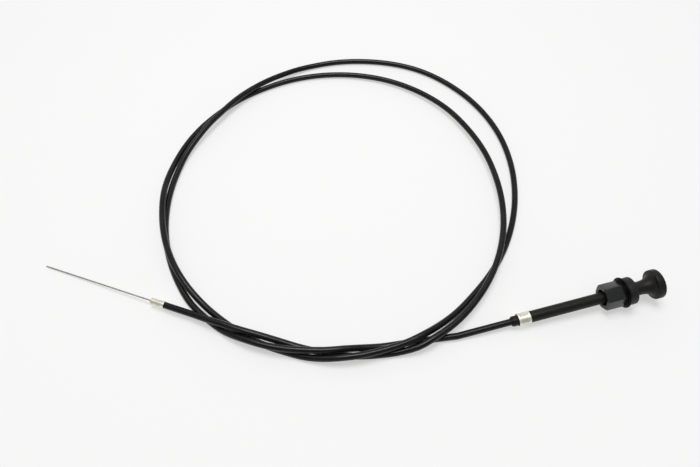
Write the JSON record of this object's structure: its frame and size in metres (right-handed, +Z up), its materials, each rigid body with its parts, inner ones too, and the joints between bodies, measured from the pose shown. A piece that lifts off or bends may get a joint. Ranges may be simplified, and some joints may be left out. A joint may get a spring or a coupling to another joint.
{
  "type": "push-pull control cable",
  "caption": "Push-pull control cable: mushroom knob on a sliding rod, clamping bushing with nut, guide tube, crimped ferrules, sheath in wide loops and a bare wire end.",
  "frame": {"origin": "on the table, under the middle of the head (knob, bushing, guide tube and crimp), measured without the cable", "axes": "+Z up from the table the part lies on, +X along the head towards the knob, seen from above; +Y is the side on which the cable's loops lie"},
  "size_m": [0.4483, 0.3191, 0.0244],
  "materials": {
    "knob": "moulded black plastic, softly matte",
    "rod": "bright drawn steel rod",
    "collar": "turned steel collar",
    "wire": "solid drawn steel wire",
    "bushing": "moulded black plastic, matte",
    "rubber": "wet-looking black rubber",
    "ring": "black rubber ring",
    "washer": "black-finished steel, dull",
    "nut": "black-finished steel with a soft sheen",
    "tube": "black plastic tube, matte",
    "zinc": "zinc-plated steel, pale",
    "sleeve": "black moulded sleeve",
    "sheath": "black extruded skin with a soft sheen",
    "armour": "wound steel wire",
    "liner": "white liner"
  },
  "bodies": {
    "cable": {"bushing": "bushing", "friction_ring": "ring", "sealing_washer": "rubber", "guide_tube": "tube", "crimp_ferrule": "zinc", "strain_sleeve": "sleeve", "sheath_head_end": "sheath", "armour_head_end": "armour", "liner_head_end": "liner", "sheath_run": "sheath", "sheath_tail_end": "sheath", "armour_tail_end": "armour", "liner_tail_end": "liner", "tail_ferrule": "zinc"},
    "plunger": {"knob": "knob", "pull_rod": "rod", "stop_collar": "collar", "core_wire_head": "wire"},
    "washer": {"plain_washer": "washer"},
    "nut": {"mounting_nut": "nut"},
    "wire": {"core_wire_tail": "wire"}
  },
  "joints": [
    {"name": "knob_pull", "type": "slide", "parent": "cable", "child": "plunger", "axis": [0.9976, 0, 0.0698], "range_m": [0, 0.028]},
    {"name": "wire_travel", "type": "slide", "parent": "cable", "child": "wire", "axis": [0.8312, -0.5543, 0.0436], "range_m": [0, 0.028]},
    {"name": "nut_travel", "type": "slide", "parent": "cable", "child": "washer", "axis": [-0.9976, 0, -0.0698], "range_m": [0, 0.0076]},
    {"name": "nut_turn", "type": "hinge", "parent": "washer", "child": "nut", "pos_m": [0.01987, 0, 0.0109], "axis": [-0.9976, 0, -0.0698], "range_deg": [0, 1800]}
  ],
  "couplings": [
    {"joint": "wire_travel", "follows": "knob_pull", "ratio": 1},
    {"joint": "nut_travel", "follows": "nut_turn", "m_per_rad": 0.00023873}
  ]
}
